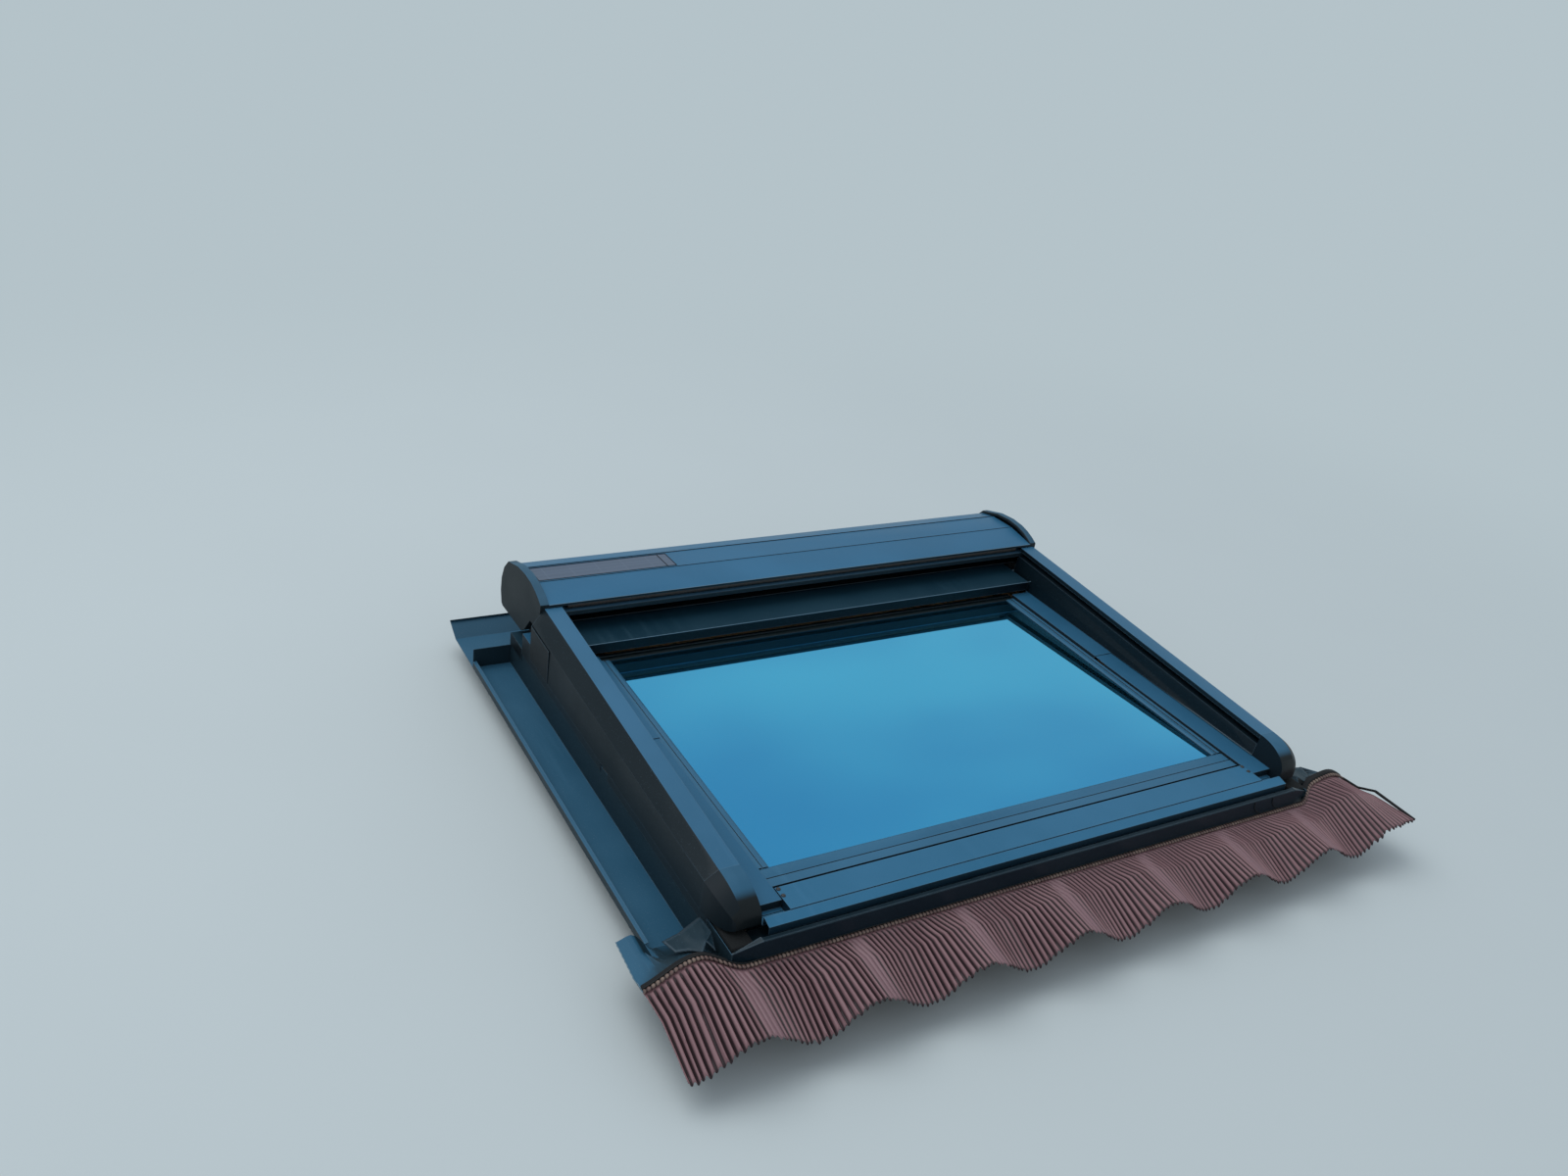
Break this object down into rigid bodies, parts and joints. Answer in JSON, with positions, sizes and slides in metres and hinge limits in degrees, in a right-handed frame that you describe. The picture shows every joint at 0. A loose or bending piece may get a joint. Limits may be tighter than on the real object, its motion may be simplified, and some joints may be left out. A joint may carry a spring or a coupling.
{
  "type": "roof skylight",
  "caption": "Centre-pivot roof window with double glazing, dark cladding, solar-driven exterior roller shutter, its winding box and side rails, and a pleated flashing for wavy roof tiles.",
  "frame": {"origin": "centre of the mounting brackets' hole pattern, in the plane of the battens that the brackets stand on", "axes": "+X across the window to the right seen from outside, +Y up the roof slope, +Z out of the roof"},
  "size_m": [1.4353, 1.178, 0.2446],
  "materials": {
    "pine": "clear lacquered pine",
    "steel": "zinc-plated steel",
    "cladding": "dark blue-grey powder coat",
    "shutter_metal": "dark grey powder coat",
    "curtain_metal": "dark grey coated aluminium",
    "moulded": "dark olive-grey moulded plastic",
    "solar": "smooth dark solar cell",
    "apron": "brown coated, pleated soft aluminium",
    "seals": "black rubber and foam",
    "spacer": "mill-finish spacer bar",
    "glass": "clear insulating glass",
    "bar": "anodised"
  },
  "bodies": {
    "frame": {"frame_right_board": "pine", "frame_left_board": "pine", "frame_sill_board": "pine", "frame_head_board": "pine", "striker_plate": "steel", "frame_seal": "seals", "mounting_brackets": "steel", "pivot_housings": "steel", "upper_side_cover_right": "cladding", "upper_side_cover_left": "cladding", "frame_cover_clips": "moulded", "top_casing": "cladding", "flashing_sill": "cladding", "flashing_apron": "apron", "flashing_side_right": "cladding", "flashing_side_left": "cladding", "flashing_top": "cladding", "foam_strips": "seals", "hinge_bases": "steel"},
    "sash": {"sash_right_stile": "pine", "sash_left_stile": "pine", "sash_bottom_rail": "pine", "sash_top_rail": "pine", "lock_case": "steel", "inner_pane": "glass", "outer_pane": "glass", "glass_spacer": "spacer", "glass_bedding": "seals", "glass_trim_right": "cladding", "glass_trim_left": "cladding", "glass_trim_bottom": "cladding", "glass_trim_top": "cladding", "pivot_pins": "steel", "lower_side_cover_right": "cladding", "lower_side_cover_left": "cladding", "sash_cover_clips": "moulded", "sash_bottom_cover": "cladding", "flap_hinges": "steel"},
    "vent_flap": {"vent_flap": "pine", "pull_bar": "bar"},
    "latch": {"latch_bolt": "steel"},
    "shutter": {"rail_right": "shutter_metal", "rail_left": "shutter_metal", "rail_end_plates": "shutter_metal", "nose_cap_right": "moulded", "nose_cap_left": "moulded", "box_hood": "shutter_metal", "solar_panel": "solar", "box_pan": "shutter_metal", "end_cap_right": "moulded", "end_cap_left": "moulded", "mouth_brush": "seals", "tube_motor": "steel", "idler_bearing": "steel", "battery_box": "moulded", "hinge_lifts": "steel"},
    "roll": {"winding_tube": "steel", "slat_roll": "curtain_metal"},
    "curtain_bar": {"curtain_bar": "curtain_metal", "lead_slats": "curtain_metal"}
  },
  "joints": [
    {"name": "sash_pivot", "type": "hinge", "parent": "frame", "child": "sash", "pos_m": [0, 0, 0.085], "axis": [-1, 0, 0], "range_deg": [0, 45]},
    {"name": "shutter_tilt", "type": "hinge", "parent": "frame", "child": "shutter", "pos_m": [0, 0.452, 0.0815], "axis": [-1, 0, 0], "range_deg": [0, 22]},
    {"name": "bar_turn", "type": "hinge", "parent": "sash", "child": "vent_flap", "pos_m": [0, 0.384, 0.01], "axis": [1, 0, 0], "range_deg": [0, 32]},
    {"name": "latch_slide", "type": "slide", "parent": "sash", "child": "latch", "axis": [0, 1, 0], "range_m": [0, 0.007]},
    {"name": "curtain_slide", "type": "slide", "parent": "shutter", "child": "curtain_bar", "axis": [0, -0.9988, -0.0499], "range_m": [0, 0.69]},
    {"name": "roll_spin", "type": "hinge", "parent": "shutter", "child": "roll", "pos_m": [0, 0.44, 0.14], "axis": [1, 0, 0], "range_deg": [0, 1200]}
  ],
  "couplings": [
    {"joint": "shutter_tilt", "follows": "sash_pivot", "ratio": 0.48},
    {"joint": "latch_slide", "follows": "bar_turn", "m_per_rad": 0.012533},
    {"joint": "roll_spin", "follows": "curtain_slide", "rad_per_m": 30}
  ]
}
